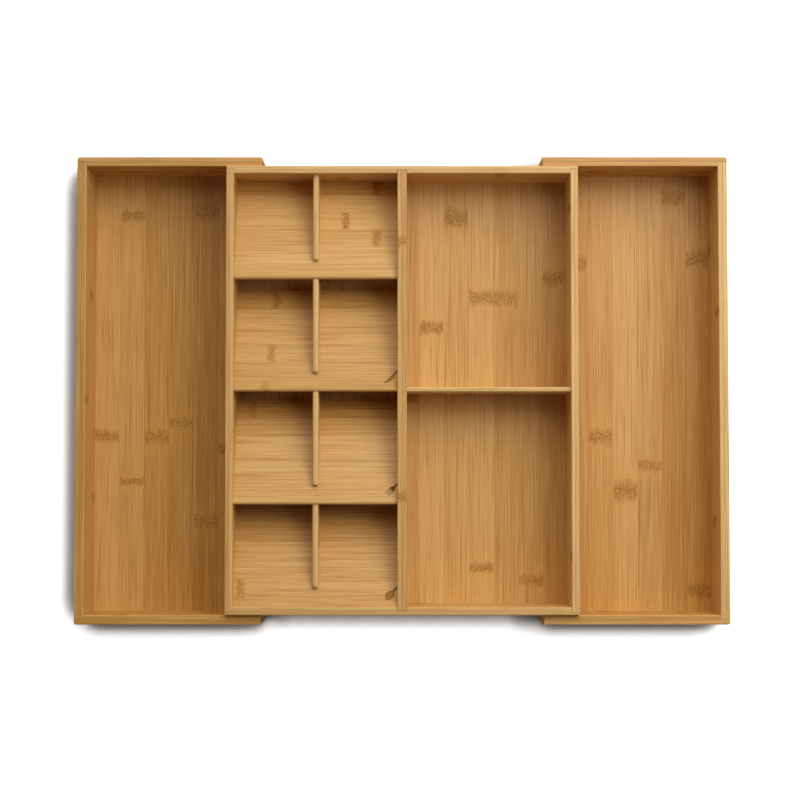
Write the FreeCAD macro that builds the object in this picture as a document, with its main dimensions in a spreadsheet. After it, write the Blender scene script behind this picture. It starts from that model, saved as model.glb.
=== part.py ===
import FreeCAD, Part
import os
import re
import Sketcher
from FreeCAD import Placement, Rotation, Vector

# An expanding bamboo cutlery tray: a centre unit with cutlery tiers and two utensil wells, and two
# side trays that slide out from under it. It stands on its feet at Z 0, centred on X and Y, with the
# back towards +Y, and both side trays are drawn out to their stops.

# Driving dimensions in millimetres, one row of the sheet each
SIZES = {
    "tray_depth": (400, "side tray, front to back over its walls"),
    "tray_height": (56, "height of the side tray wall boards"),
    "tray_wall": (8, "thickness of the side tray walls"),
    "tray_base": (5, "thickness of the side tray base"),
    "tray_lap_share": (0.5, "share of a long wall that covers the end of the side wall"),
    "tray_rebate_share": (0.5, "share of the side tray walls that its base is let into"),
    "tray_clear": (120.5, "clear width of a side tray that is drawn out"),
    "tray_round": (2, "rounding of the outer upright corners"),
    "arm_overlap": (30, "length of the arms left beside the centre unit"),
    "centre_width": (301, "centre unit, left to right over its walls"),
    "centre_height": (56, "height of the centre unit wall boards"),
    "centre_wall": (6.5, "thickness of the centre unit walls"),
    "centre_base": (5, "thickness of the centre unit base"),
    "centre_lap_share": (0.36, "share of a long wall that covers the end of a side wall"),
    "centre_rebate_share": (0.46, "share of the centre unit walls that its base is let into"),
    "side_gap": (0.5, "running gap between the arms and the centre unit"),
    "slide_gap": (0.5, "running gap between the side tray base and the centre unit"),
    "glue_line": (0.2, "visible gap at a glued seam"),
    "rim_ease": (0.9, "rounding of the rim edges"),
    "divider_wall": (8, "thickness of the central divider"),
    "divider_housing": (2.6, "how far the central divider is let into the long walls"),
    "cross_wall": (4, "thickness of the cross divider"),
    "cross_drop": (3, "drop of the cross divider below the rim"),
    "cross_housing": (2.5, "how far the cross divider is let in at each end"),
    "cross_ease": (1.4, "rounding of the cross divider's top edges"),
    "tier_board": (7, "thickness of a tier panel"),
    "tier_run": (90, "length of a tier panel in plan"),
    "tier_tuck": (9.5, "how much closer the front tier stands to the one behind it"),
    "tier_front_drop": (3, "drop of a tier's front edge below the rim"),
    "tier_housing": (2.5, "how far a tier panel is let in at each end"),
    "tier_nose": (2, "rounding of a tier's free front edge"),
    "fin_wall": (5, "thickness of a fin"),
    "fin_setback": (16, "distance from the tier's front edge to the fin's tip"),
    "fin_tip_rise": (4.5, "height of the fin's tip above the tier panel"),
    "fin_round": (2.3, "rounding of the fin's top and tip"),
    "round_share": (0.46, "largest share of a thickness that a rounding takes"),
    "key_level": (26.5, "height of the guide keys above the side tray's lower edge"),
    "key_height": (4.4, "height of a guide key"),
    "key_reach": (3.2, "how far a guide key stands out of its wall"),
    "key_mortise": (3, "how far a guide key is let into its wall"),
    "key_margin": (1.5, "wood left between the centre unit's side wall and a guide key"),
    "key_ease": (1.2, "rounding of a guide key's leading corners"),
    "key_gap": (0.3, "running gap above and below a guide key"),
    "key_tip_gap": (0.9, "running gap in front of a guide key"),
    "key_stop_gap": (0.5, "gap between a guide key and its stop"),
    "groove_start": (2.5, "distance from the side wall to the slide groove"),
    "groove_stop": (5, "wood left between the slide groove and the arm's end"),
    "foot_height": (1.5, "thickness of a foot pad"),
    "foot_diameter": (14, "diameter of a foot pad"),
    "foot_inset": (20, "distance from the tray's edges to a foot's middle"),
    "overrun": (1, "length by which a cut passes the face that it opens"),
}

# Tiers with a free front edge: one more tier ends at the front wall
FREE_TIERS = 3

# Sizes and places that follow from the driving dimensions
DERIVED = {
    "half_centre": "centre_width / 2",
    "half_extended": "half_centre + tray_clear + tray_wall",
    "arm_end": "half_centre - arm_overlap",
    "arm_length": "half_extended - arm_end",
    "half_tray_depth": "tray_depth / 2",
    "half_centre_depth": "half_tray_depth - tray_wall - side_gap",
    "centre_inside": "half_centre_depth - centre_wall",
    "tray_lap": "tray_wall * tray_lap_share",
    "tray_rebate": "tray_wall * tray_rebate_share",
    "tray_corner": "min(tray_round; tray_wall * round_share)",
    "centre_lap": "centre_wall * centre_lap_share",
    "centre_rebate": "centre_wall * centre_rebate_share",
    "tray_side_length": "tray_depth - 2 * (tray_lap + glue_line)",
    "centre_side_length": "2 * (half_centre_depth - centre_lap - glue_line)",
    "centre_bottom": "foot_height + tray_base + slide_gap",
    "centre_floor": "centre_bottom + centre_base",
    "well_depth": "centre_height - centre_base",
    "half_divider": "divider_wall / 2",
    "divider_length": "2 * (centre_inside + divider_housing)",
    "well_side": "half_centre - centre_wall",
    "cross_height": "well_depth - cross_drop",
    "cross_length": "well_side - half_divider + 2 * cross_housing",
    "cross_edge": "min(cross_ease; cross_wall * round_share)",
    "tier_pitch": f"(2 * centre_inside - tier_run + tier_tuck) / {FREE_TIERS}",
    "tier_lip": "well_depth - tier_front_drop",
    "tier_angle": "acos(tier_board / sqrt(tier_lip ^ 2 + tier_run ^ 2)) - atan(tier_run / tier_lip)",
    "tier_slope": "tan(tier_angle)",
    "tier_edge": "tier_board / cos(tier_angle)",
    "tier_length": "well_side - half_divider + 2 * tier_housing",
    "fin_middle": "(well_side + half_divider) / 2",
    "fin_tip_foot": "tier_lip - fin_setback * tier_slope",
    "fin_top": "fin_tip_foot + fin_tip_rise",
    "fin_edge": "min(fin_round; fin_wall * round_share; fin_tip_rise * round_share)",
    "key_inset": "centre_wall + key_margin",
    "key_length": "arm_overlap - groove_stop - key_stop_gap - key_inset",
    "key_depth": "key_mortise + key_reach",
    "key_bottom": "foot_height + key_level - key_height / 2",
    "groove_depth": "key_reach - side_gap + key_tip_gap",
    "groove_half": "key_height / 2 + key_gap",
}

# Front edges of the tiers, back to front
TIER_FRONTS = [f"centre_inside - tier_run - {tier} * tier_pitch" for tier in range(FREE_TIERS)]
TIER_FRONTS.append("-centre_inside")

# Points closer than this, far less than any size, count as one place
TOLERANCE = 1e-4

doc = FreeCAD.newDocument("CutleryTray")
sheet = doc.addObject("Spreadsheet::Sheet", "Sizes")
parts = []


def fill_sheet():
    """One row for each driving dimension: its name, its number and what it measures."""
    for row, (name, (number, words)) in enumerate(SIZES.items(), 1):
        sheet.set(f"A{row}", name)
        sheet.set(f"B{row}", str(number))
        sheet.set(f"C{row}", words)
        sheet.setAlias(f"B{row}", name)
    doc.recompute()


def formula(text):
    """The text with each derived name written out and each driving name read from the sheet."""
    def written_out(match):
        word = match.group()
        if word in DERIVED:
            return f"({formula(DERIVED[word])})"
        return f"Sizes.{word}" if word in SIZES else word
    return re.sub(r"[a-z_]+", written_out, text)


def size(text):
    """The number that a formula gives now."""
    return float(sheet.evalExpression(formula(text)))


def bind(item, name, text):
    """Tie a property of an object to a formula."""
    item.setExpression(name, formula(text))


def new_body(label, corner, turn=0):
    """An empty body whose own origin lies at a corner in the tray's frame, turned about Z."""
    body = doc.addObject("PartDesign::Body", label)
    body.Label = label
    body.Placement = Placement(Vector(), Rotation(Vector(0, 0, 1), turn))
    for axis, text in zip("xyz", corner):
        bind(body, f"Placement.Base.{axis}", text)
    parts.append(body)
    return body


def board(label, extent, corner, turn=0):
    """A plain board: X along its length, Y from its outer face inwards, Z up."""
    body = new_body(label, corner, turn)
    blank = body.newObject("PartDesign::AdditiveBox", "Blank")
    for side, text in zip(("Length", "Width", "Height"), extent):
        bind(blank, side, text)
    doc.recompute()
    return body


def require_cut(body, before):
    """Stop if the last cut took nothing away."""
    if body.Shape.Volume > before - TOLERANCE:
        raise RuntimeError(f"{body.Label}: {body.Tip.Label} cuts nothing")


def notch(body, name, *spans):
    """Cut a rectangular notch, given as its (from, to) along X, Y and Z of the board."""
    before = body.Shape.Volume
    cut = body.newObject("PartDesign::SubtractiveBox", name)
    for side, axis, (start, stop) in zip(("Length", "Width", "Height"), "xyz", spans):
        bind(cut, side, f"({stop}) - ({start})")
        bind(cut, f"Placement.Base.{axis}", start)
    doc.recompute()
    require_cut(body, before)


def outline(body, name, role, offset, points):
    """A closed sketch of straight lines on one of the body's origin planes, each corner tied."""
    plane = next(item for item in body.Origin.OriginFeatures if item.Role == role)
    sketch = body.newObject("Sketcher::SketchObject", name)
    sketch.AttachmentSupport = [(plane, "")]
    sketch.MapMode = "FlatFace"
    bind(sketch, "AttachmentOffset.Base.z", offset)
    corners = [Vector(size(across), size(up), 0) for across, up in points]
    for start, stop in zip(corners, corners[1:] + corners[:1]):
        sketch.addGeometry(Part.LineSegment(start, stop))
    for line, point in enumerate(points):
        following = (line + 1) % len(points)
        sketch.addConstraint(Sketcher.Constraint("Coincident", line, 2, following, 1))
        for kind, text in zip(("DistanceX", "DistanceY"), point):
            index = sketch.addConstraint(Sketcher.Constraint(kind, -1, 1, line, 1, size(text)))
            bind(sketch, f"Constraints[{index}]", text)
    doc.recompute()
    return sketch


def pad(body, sketch, length):
    """Raise a sketch to a solid."""
    solid = body.newObject("PartDesign::Pad", "Blank")
    solid.Profile = sketch
    bind(solid, "Length", length)
    doc.recompute()


def pocket(body, name, sketch, depth, along_normal):
    """Sink a sketch into the body."""
    before = body.Shape.Volume
    cut = body.newObject("PartDesign::Pocket", name)
    cut.Profile = sketch
    cut.Reversed = along_normal
    bind(cut, "Length", depth)
    doc.recompute()
    require_cut(body, before)


def ease(body, name, radius, wanted):
    """Round the edges whose middle point is wanted."""
    base = body.Tip
    edges = []
    for number, edge in enumerate(base.Shape.Edges, 1):
        middle = edge.valueAt((edge.FirstParameter + edge.LastParameter) / 2)
        if wanted(middle):
            edges.append(f"Edge{number}")
    if not edges:
        raise RuntimeError(f"{body.Label}: {name} finds no edge")
    fillet = body.newObject("PartDesign::Fillet", name)
    fillet.Base = (base, edges)
    bind(fillet, "Radius", radius)
    doc.recompute()


def near(value, text):
    """Whether a coordinate is the one that a formula gives."""
    return abs(value - size(text)) < TOLERANCE


def ease_rim(body, length, thickness, height, ends):
    """Round the long rim edges of a wall, and those across its ends where they are free."""
    def wanted(middle):
        long_edge = near(middle.y, "0") or near(middle.y, thickness)
        end_edge = near(middle.x, "0") or near(middle.x, length)
        return near(middle.z, height) and (long_edge or (ends and end_edge))
    ease(body, "RimEase", "rim_ease", wanted)


def cut_base_rebate(body, length, thickness, rebate, base):
    """The step along the lower inner edge of a wall, in which the base board lies."""
    notch(body, "BaseRebate", ("-overrun", f"{length} + overrun"),
          (f"{thickness} - {rebate}", f"{thickness} + overrun"), ("-overrun", base))


def tray_side_wall(label, side):
    """The outer wall of a side tray, between the tongues of its two long walls."""
    corner = (f"{side} * half_extended", f"-{side} * tray_side_length / 2", "foot_height")
    body = board(label, ("tray_side_length", "tray_wall", "tray_height"), corner, side * 90)
    cut_base_rebate(body, "tray_side_length", "tray_wall", "tray_rebate", "tray_base")
    ease_rim(body, "tray_side_length", "tray_wall", "tray_height", ends=False)


def tray_long_wall(label, side, towards_back):
    """A back or front wall of a side tray, which reaches past the centre unit as a sliding arm."""
    corner_first = (side < 0) != towards_back
    outer_end = f"{side} * half_extended"
    arm_tip = f"{side} * arm_end"
    face = "half_tray_depth" if towards_back else "-half_tray_depth"
    start = (outer_end if corner_first else arm_tip, face, "foot_height")
    turn = 180 if towards_back else 0
    body = board(label, ("arm_length", "tray_wall", "tray_height"), start, turn)

    def along(first, last):
        """A span measured from the outer corner, along the board."""
        if corner_first:
            return first, last
        return f"arm_length - ({last})", f"arm_length - ({first})"

    full_height = ("-overrun", "tray_height + overrun")
    notch(body, "CornerLap", along("-overrun", "tray_wall"),
          ("tray_lap", "tray_wall + overrun"), full_height)
    cut_base_rebate(body, "arm_length", "tray_wall", "tray_rebate", "tray_base")
    notch(body, "SlideGroove", along("tray_wall + groove_start", "arm_length - groove_stop"),
          ("tray_wall - groove_depth", "tray_wall + overrun"),
          ("key_level - groove_half", "key_level + groove_half"))
    corner = "0" if corner_first else "arm_length"
    ease(body, "CornerRound", "tray_corner",
         lambda middle: near(middle.x, corner) and near(middle.y, "0") and middle.z > TOLERANCE
         and not near(middle.z, "tray_height"))
    ease_rim(body, "arm_length", "tray_wall", "tray_height", ends=True)


def tray_base_board(label, side):
    """The base of a side tray, let into its three walls and open towards the centre unit."""
    outer = "half_extended - tray_wall + tray_rebate"
    half_width = "half_tray_depth - tray_wall + tray_rebate"
    start = "arm_end" if side > 0 else f"-({outer})"
    board(label, (f"{outer} - arm_end", f"2 * ({half_width})", "tray_base"),
          (start, f"-({half_width})", "foot_height"))


def tray_feet(label, side):
    """Four thin non-slip pads under the base of a side tray."""
    pads = []
    for along in ("half_extended - foot_inset", "arm_end + foot_inset"):
        for across in ("half_tray_depth - foot_inset", "foot_inset - half_tray_depth"):
            disc = doc.addObject("Part::Cylinder", f"{label}_pad")
            bind(disc, "Radius", "foot_diameter / 2")
            bind(disc, "Height", "foot_height")
            bind(disc, "Placement.Base.x", f"{side} * ({along})")
            bind(disc, "Placement.Base.y", across)
            pads.append(disc)
    feet = doc.addObject("Part::Compound", label)
    feet.Label = label
    feet.Links = pads
    parts.append(feet)


def side_tray(name, side):
    """All the pieces of one side tray."""
    tray_side_wall(f"{name}_tray_side_wall", side)
    tray_long_wall(f"{name}_tray_back_wall", side, towards_back=True)
    tray_long_wall(f"{name}_tray_front_wall", side, towards_back=False)
    tray_base_board(f"{name}_tray_base", side)
    tray_feet(f"{name}_tray_feet", side)


def centre_long_wall(label, towards_back):
    """A back or front wall of the centre unit, with seats for the divider and two guide keys."""
    sign = "" if towards_back else "-"
    corner = (f"{sign}half_centre", f"{sign}half_centre_depth", "centre_bottom")
    body = board(label, ("centre_width", "centre_wall", "centre_height"), corner,
                 180 if towards_back else 0)
    full_height = ("-overrun", "centre_height + overrun")
    behind_lap = ("centre_lap", "centre_wall + overrun")
    notch(body, "FirstLap", ("-overrun", "centre_wall"), behind_lap, full_height)
    notch(body, "LastLap", ("centre_width - centre_wall", "centre_width + overrun"), behind_lap,
          full_height)
    cut_base_rebate(body, "centre_width", "centre_wall", "centre_rebate", "centre_base")
    notch(body, "DividerHousing",
          ("half_centre - half_divider - glue_line", "half_centre + half_divider + glue_line"),
          ("centre_wall - divider_housing - glue_line", "centre_wall + overrun"),
          ("centre_base", "centre_height + overrun"))
    key_foot = "key_bottom - centre_bottom"
    mortise = (("-overrun", "key_mortise"), (key_foot, f"{key_foot} + key_height"))
    notch(body, "FirstMortise", ("key_inset", "key_inset + key_length"), *mortise)
    notch(body, "LastMortise",
          ("centre_width - key_inset - key_length", "centre_width - key_inset"), *mortise)
    ease_rim(body, "centre_width", "centre_wall", "centre_height", ends=True)


def tier_section(front):
    """A tier panel's cut end, for a board that runs front to back: (along, above the floor)."""
    return [(front, "tier_lip"), (f"{front} - tier_run", "tier_edge"), (f"{front} - tier_run", "0"),
            (front, "tier_lip - tier_edge")]


def house_tiers(body, length, floor, face, depth, along_normal):
    """Sink the sloping housings for the tier panels into one face of a board."""
    for number, front in enumerate(TIER_FRONTS, 1):
        section = tier_section(f"{length} / 2 - ({front})")
        points = [(along, f"{floor} + {up}") for along, up in section]
        sketch = outline(body, f"TierEnd{number}", "XZ_Plane", face, points)
        pocket(body, f"TierHousing{number}", sketch, depth, along_normal)


def centre_side_wall(label, side):
    """The left wall, which holds the tiers, or the right wall, which holds the cross divider."""
    corner = (f"{side} * half_centre", f"-{side} * centre_side_length / 2", "centre_bottom")
    body = board(label, ("centre_side_length", "centre_wall", "centre_height"), corner, side * 90)
    cut_base_rebate(body, "centre_side_length", "centre_wall", "centre_rebate", "centre_base")
    if side < 0:
        house_tiers(body, "centre_side_length", "centre_base", "-centre_wall", "tier_housing", True)
    else:
        notch(body, "CrossHousing",
              ("(centre_side_length - cross_wall) / 2", "(centre_side_length + cross_wall) / 2"),
              ("centre_wall - cross_housing", "centre_wall + overrun"),
              ("centre_base", "centre_base + cross_height"))
    ease_rim(body, "centre_side_length", "centre_wall", "centre_height", ends=False)


def central_divider(label):
    """The board between the tiers on its left and the utensil wells on its right."""
    corner = ("-half_divider", "divider_length / 2", "centre_floor")
    body = board(label, ("divider_length", "divider_wall", "well_depth"), corner, -90)
    house_tiers(body, "divider_length", "0", "0", "tier_housing", False)
    notch(body, "CrossHousing",
          ("(divider_length - cross_wall) / 2", "(divider_length + cross_wall) / 2"),
          ("divider_wall - cross_housing", "divider_wall + overrun"), ("-overrun", "cross_height"))
    ease_rim(body, "divider_length", "divider_wall", "well_depth", ends=False)


def cross_divider(label):
    """The thin board that parts the two utensil wells."""
    corner = ("half_divider - cross_housing", "-cross_wall / 2", "centre_floor")
    body = board(label, ("cross_length", "cross_wall", "cross_height"), corner)
    ease(body, "TopEase", "cross_edge",
         lambda middle: near(middle.z, "cross_height")
         and (near(middle.y, "0") or near(middle.y, "cross_wall")))


def centre_base_board(label):
    """The base of the centre unit, let into its four walls."""
    half_length = "well_side + centre_rebate"
    half_width = "centre_inside + centre_rebate"
    board(label, (f"2 * ({half_length})", f"2 * ({half_width})", "centre_base"),
          (f"-({half_length})", f"-({half_width})", "centre_bottom"))


def tier_panel(label, front, free):
    """A sloping panel, high at its front edge and standing on the base at its back edge."""
    body = new_body(label, ("-well_side - tier_housing", front, "centre_floor"))
    section = [("0", "tier_lip"), ("tier_run", "tier_edge"), ("tier_run", "0"),
               ("0", "tier_lip - tier_edge")]
    pad(body, outline(body, "Section", "YZ_Plane", "0", section), "tier_length")
    if free:
        ease(body, "Nose", "tier_nose",
             lambda middle: near(middle.y, "0") and near(middle.z, "tier_lip"))
        ease(body, "NoseUnder", "rim_ease",
             lambda middle: near(middle.y, "0") and near(middle.z, "tier_lip - tier_edge"))


def tier_fin(label, front, tail_end):
    """An upright fin on a tier, with a level top. Where it runs past its panel it stands on the base."""
    body = new_body(label, ("-fin_middle - fin_wall / 2", front, "centre_floor"))
    section = [("fin_setback", "fin_tip_foot"), ("fin_setback", "fin_top"), (tail_end, "fin_top")]
    if size(tail_end) > size("tier_run") + TOLERANCE:
        section += [(tail_end, "0"), ("tier_run", "0"), ("tier_run", "tier_edge")]
    else:
        section.append((tail_end, f"tier_lip - ({tail_end}) * tier_slope"))
    pad(body, outline(body, "Section", "YZ_Plane", "0", section), "fin_wall")

    def wanted(middle):
        on_side = near(middle.x, "0") or near(middle.x, "fin_wall")
        at_tip = near(middle.y, "fin_setback") and middle.z > size("fin_tip_foot") + TOLERANCE
        on_top = near(middle.z, "fin_top") and middle.y < size(tail_end) - TOLERANCE
        return (on_side and (at_tip or on_top)) or (at_tip and on_top)

    ease(body, "TopRound", "fin_edge", wanted)


def guide_key(label, side, towards_back):
    """A bamboo key glued into the centre unit's wall, which runs in the slide groove of an arm."""
    nearest, farthest = "half_centre - key_inset - key_length", "half_centre - key_inset"
    ends = (nearest, farthest) if side > 0 else (f"-({farthest})", f"-({nearest})")
    face = "half_centre_depth + key_reach"
    corner = (ends[1], face, "key_bottom") if towards_back else (ends[0], f"-({face})", "key_bottom")
    body = board(label, ("key_length", "key_depth", "key_height"), corner, 180 if towards_back else 0)
    ease(body, "LeadingEase", "key_ease",
         lambda middle: near(middle.y, "0") and near(middle.z, "key_height / 2"))


def centre_unit():
    """All the pieces of the centre unit."""
    centre_long_wall("centre_back_wall", towards_back=True)
    centre_long_wall("centre_front_wall", towards_back=False)
    centre_side_wall("centre_left_wall", -1)
    centre_side_wall("centre_right_wall", 1)
    centre_base_board("centre_base")
    central_divider("central_divider")
    cross_divider("cross_divider")
    for number, front in enumerate(TIER_FRONTS, 1):
        tier_panel(f"tier_panel_{number}", front, free=number <= FREE_TIERS)
    for number, front in enumerate(TIER_FRONTS, 1):
        tail_end = "tier_run"
        if number > 1:
            tail_end = f"({TIER_FRONTS[number - 2]}) - ({front})"
        tier_fin(f"tier_fin_{number}", front, tail_end)
    for name, side in (("left", -1), ("right", 1)):
        guide_key(f"{name}_back_key", side, towards_back=True)
        guide_key(f"{name}_front_key", side, towards_back=False)


def check_and_write():
    """Stop on any failed object or bad shape, then write each piece to its own file."""
    doc.recompute()
    for item in doc.Objects:
        if {"Invalid", "Error"} & set(item.State):
            raise RuntimeError(f"{item.Label} failed: {item.State}")
    for part in parts:
        if part.Shape.isNull() or not part.Shape.isValid():
            raise RuntimeError(f"{part.Label} has no valid shape")
    os.makedirs("parts", exist_ok=True)
    for part in parts:
        part.Shape.exportStep(os.path.join("parts", f"{part.Label}.step"))
        box = part.Shape.BoundBox
        print(f"{part.Label}: {len(part.Shape.Solids)} solid, {box.XLength:.1f} x {box.YLength:.1f} "
              f"x {box.ZLength:.1f} mm")


fill_sheet()
centre_unit()
side_tray("left", -1)
side_tray("right", 1)
check_and_write()
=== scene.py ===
from math import cos, radians, sin
from typing import NamedTuple

import bmesh
import bpy
from bpy.props import FloatProperty, FloatVectorProperty, PointerProperty
from mathutils import Matrix, Vector


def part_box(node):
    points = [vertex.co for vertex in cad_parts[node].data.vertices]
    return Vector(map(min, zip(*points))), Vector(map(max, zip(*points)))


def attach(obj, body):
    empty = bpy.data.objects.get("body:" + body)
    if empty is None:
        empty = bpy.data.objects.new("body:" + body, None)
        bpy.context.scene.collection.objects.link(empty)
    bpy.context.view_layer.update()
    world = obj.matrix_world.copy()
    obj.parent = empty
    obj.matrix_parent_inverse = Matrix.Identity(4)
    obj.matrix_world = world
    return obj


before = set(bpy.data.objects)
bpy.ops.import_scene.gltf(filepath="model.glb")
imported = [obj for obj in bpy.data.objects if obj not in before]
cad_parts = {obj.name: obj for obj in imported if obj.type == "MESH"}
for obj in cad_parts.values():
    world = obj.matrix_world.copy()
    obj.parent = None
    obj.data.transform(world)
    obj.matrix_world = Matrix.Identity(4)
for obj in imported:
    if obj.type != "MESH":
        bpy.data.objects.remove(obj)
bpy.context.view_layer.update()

bl_info = {
    "name": "Cutlery tray finish",
    "version": (1, 0, 0),
    "blender": (4, 5, 0),
    "location": "3D View > Sidebar > Cutlery Tray",
    "description": "Bamboo boards, burnt cutlery marks, foot pads and a stage for the cutlery tray",
    "category": "Object",
}

LEFT_TO_RIGHT = Vector((1, 0, 0))
BACK_TO_FRONT = Vector((0, -1, 0))
UPWARDS = Vector((0, 0, 1))

# The tiers' upward face, read from the largest face of the first tier panel
TIER_FACE = max(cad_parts["tier_panel_1"].data.polygons, key=lambda face: face.area).normal.copy()
TIER_FACE *= 1 if TIER_FACE.z > 0 else -1
UP_THE_TIER = LEFT_TO_RIGHT.cross(TIER_FACE)


class Board(NamedTuple):
    """One board as it was sawn: its seed, how pale it is, where its first whole strip starts, its
    knuckles as (strip, share of the board's length, share of the usual knuckle length), how much its
    strips differ in tone and redden, and how much paler or darker the faces at its strips' edges are,
    such as a wall's top: partly sanding, partly painted light."""
    seed: float
    paleness: float = 0.5
    first_strip: float = 0.0
    knuckle_shares: tuple = ()
    contrast: float = 0.36
    amber_share: float = 0.3
    rim: float = 0.12


# Base boards: strips counted from the left, lengths from the back. Their seeds and contrast were chosen to
# follow strip tones that grow darker towards each compartment's right-hand wall: partly the bamboo's own
# tone, partly painted shade from that wall.
BASES = {
    "left_tray_base": Board(
        seed=368484, paleness=0.31, first_strip=0.004, contrast=0.6, knuckle_shares=(
            (1, 0.1, 0.9), (4, 0.09, 1.4), (0, 0.6, 1.0), (2, 0.6, 1.1), (3, 0.57, 0.9), (1, 0.7, 0.6),
            (4, 0.79, 1.2), (5, 0.63, 1.0))),
    "right_tray_base": Board(
        seed=55994, paleness=0.27, contrast=0.6, knuckle_shares=(
            (5, 0.06, 1.3), (6, 0.2, 1.4), (1, 0.21, 1.2), (2, 0.6, 1.2), (4, 0.665, 0.9),
            (3, 0.72, 1.7), (6, 0.945, 1.2))),
    "centre_base": Board(
        seed=845671, paleness=0.52, first_strip=0.0095, contrast=0.6, knuckle_shares=(
            (8, 0.09, 1.4), (9, 0.278, 1.1), (10, 0.28, 1.2), (12, 0.233, 1.2), (7, 0.35, 1.0),
            (6, 0.51, 1.0), (9, 0.91, 0.8), (11, 0.94, 0.9), (2, 0.3, 1.0), (4, 0.7, 1.0))),
}

# Walls that run left to right: strips counted upwards, lengths from the left
# Their rim values are partly painted light: the back walls' tops lighter and the front walls' tops darker,
# as the light falls from the back
LONG_WALLS = {
    "left_tray_back_wall": Board(
        seed=11.3, paleness=0.15, rim=0.27, knuckle_shares=((2, 0.16, 1.8), (0, 0.62, 1.1))),
    "left_tray_front_wall": Board(
        seed=12.8, paleness=0.2, rim=0.06, knuckle_shares=((2, 0.23, 1.5), (1, 0.7, 1.0))),
    "right_tray_back_wall": Board(
        seed=13.5, paleness=0.05, rim=0.3, knuckle_shares=((1, 0.3, 1.1), (0, 0.8, 1.0))),
    "right_tray_front_wall": Board(
        seed=14.9, paleness=0.3, rim=-0.04, knuckle_shares=((0, 0.35, 1.2), (1, 0.76, 0.9))),
    "centre_back_wall": Board(
        seed=15.6, paleness=0.68, rim=0.26, knuckle_shares=((2, 0.78, 0.8), (1, 0.33, 1.1))),
    "centre_front_wall": Board(
        seed=16.2, paleness=0.52, rim=0.0, knuckle_shares=((2, 0.13, 0.9), (0, 0.55, 1.1))),
    "cross_divider": Board(seed=17.7, paleness=0.85, knuckle_shares=((0, 0.4, 1.0),)),
}

# Walls that run back to front: strips counted upwards, lengths from the back
# Their rim values are partly painted light: the left wall's top darker than its paler faces, as the light
# falls from the right
SIDE_WALLS = {
    "left_tray_side_wall": Board(
        seed=21.4, paleness=0.45, rim=-0.25,
        knuckle_shares=((1, 0.287, 1.2), (0, 0.736, 1.0), (2, 0.52, 0.8))),
    "right_tray_side_wall": Board(
        seed=22.9, paleness=0.72, rim=0.03,
        knuckle_shares=((2, 0.327, 0.9), (0, 0.18, 1.1), (1, 0.79, 1.1))),
    "centre_left_wall": Board(
        seed=23.6, paleness=0.48, knuckle_shares=((2, 0.04, 1.0), (1, 0.56, 1.0))),
    "centre_right_wall": Board(
        seed=24.1, paleness=0.7, knuckle_shares=((2, 0.087, 0.9), (2, 0.876, 0.8), (0, 0.45, 1.1))),
    "central_divider": Board(
        seed=25.8, paleness=0.38, rim=0.18,
        knuckle_shares=((2, 0.163, 0.8), (2, 0.745, 0.9), (1, 0.4, 1.0))),
}

# Tier panels: strips counted from the back edge up to the front edge, lengths from the left
TIERS = {
    "tier_panel_1": Board(
        seed=1446115, paleness=0.7, contrast=0.6,
        knuckle_shares=((2, 0.672, 0.6), (3, 0.857, 0.7), (0, 0.853, 0.7))),
    "tier_panel_2": Board(
        seed=491880, paleness=0.51, first_strip=0.004, contrast=0.6,
        knuckle_shares=((3, 0.233, 0.7), (5, 0.2, 0.7), (0, 0.252, 0.7))),
    "tier_panel_3": Board(
        seed=1404978, paleness=0.39, first_strip=0.002, contrast=0.6, knuckle_shares=((0, 0.114, 0.7),)),
    "tier_panel_4": Board(
        seed=1318821, paleness=0.39, first_strip=0.006, contrast=0.6, knuckle_shares=((4, 0.061, 0.7),)),
}
FINS = {f"tier_fin_{number}": Board(seed=40.0 + number, paleness=1.0, amber_share=0.1)
        for number in range(1, 5)}
KEYS = {f"{side}_{end}_key": Board(seed=50.0, paleness=0.3)
        for side in ("left", "right") for end in ("back", "front")}
FEET = ("left_tray_feet", "right_tray_feet")

# How many grains to the metre the bamboo has along, across and through a board
BROAD_GRAIN = (3.5, 130, 130)
MIDDLE_GRAIN = (8, 380, 380)
FINE_GRAIN = (14, 1200, 1200)
DASH_GRAIN = (38, 1500, 1500)
SPECKLE_GRAIN = (640, 760, 760)
KNUCKLE_EDGE_GRAIN = (60, 260, 260)
CUT_END_GRAIN = (0, 1100, 1100)
CHAR_GRAIN = (300, 900, 900)
RUBBER_GRAIN = (1500, 1500, 1500)
DUST_GRAIN = (90, 90, 90)


class Mask(NamedTuple):
    """One layer of the bamboo's colour: where it fades from none to full, in the values that it is read
    from, how strongly it shows, and in which of the finish's colours."""
    start: float
    stop: float
    strength: float
    colour: str


# The grain: dark and pale fibres, the short dashes of open grain, the seams between strips and the glue
# between a board's two layers
MEDIUM_FIBRE = Mask(0.5, 0.75, 0.14, "Fibre")
FINE_FIBRE = Mask(0.5, 0.72, 0.54, "Fibre")
FINE_GLEAM = Mask(0.46, 0.28, 0.54, "Pale")
DASH = Mask(0.64, 0.72, 0.3, "Fibre")
SEAM = Mask(0.482, 0.497, 0.16, "Fibre")
GLUE = Mask(0.14, 0.03, 0.4, "Fibre")

# A knuckle, in lengths from its middle: the stain along the grain and its core, and the speckles in it
STAIN = Mask(2.4, 0.1, 0.3, "Amber")
CORE = Mask(0.75, 0.15, 0.8, "Honey")
DARK_SPECKLE = Mask(0.62, 0.78, 0.56, "Knuckle")
PALE_SPECKLE = Mask(0.48, 0.36, 0.24, "Pale")

# Dots on cut ends, and eased edges made paler: partly worn, partly a painted highlight where the light
# catches them
CUT_END_DOT = Mask(0.45, 0.15, 0.3, "Knuckle")
EDGE_WEAR_AND_HIGHLIGHT = Mask(0.97, 0.8, 0.35, "Pale")

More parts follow.
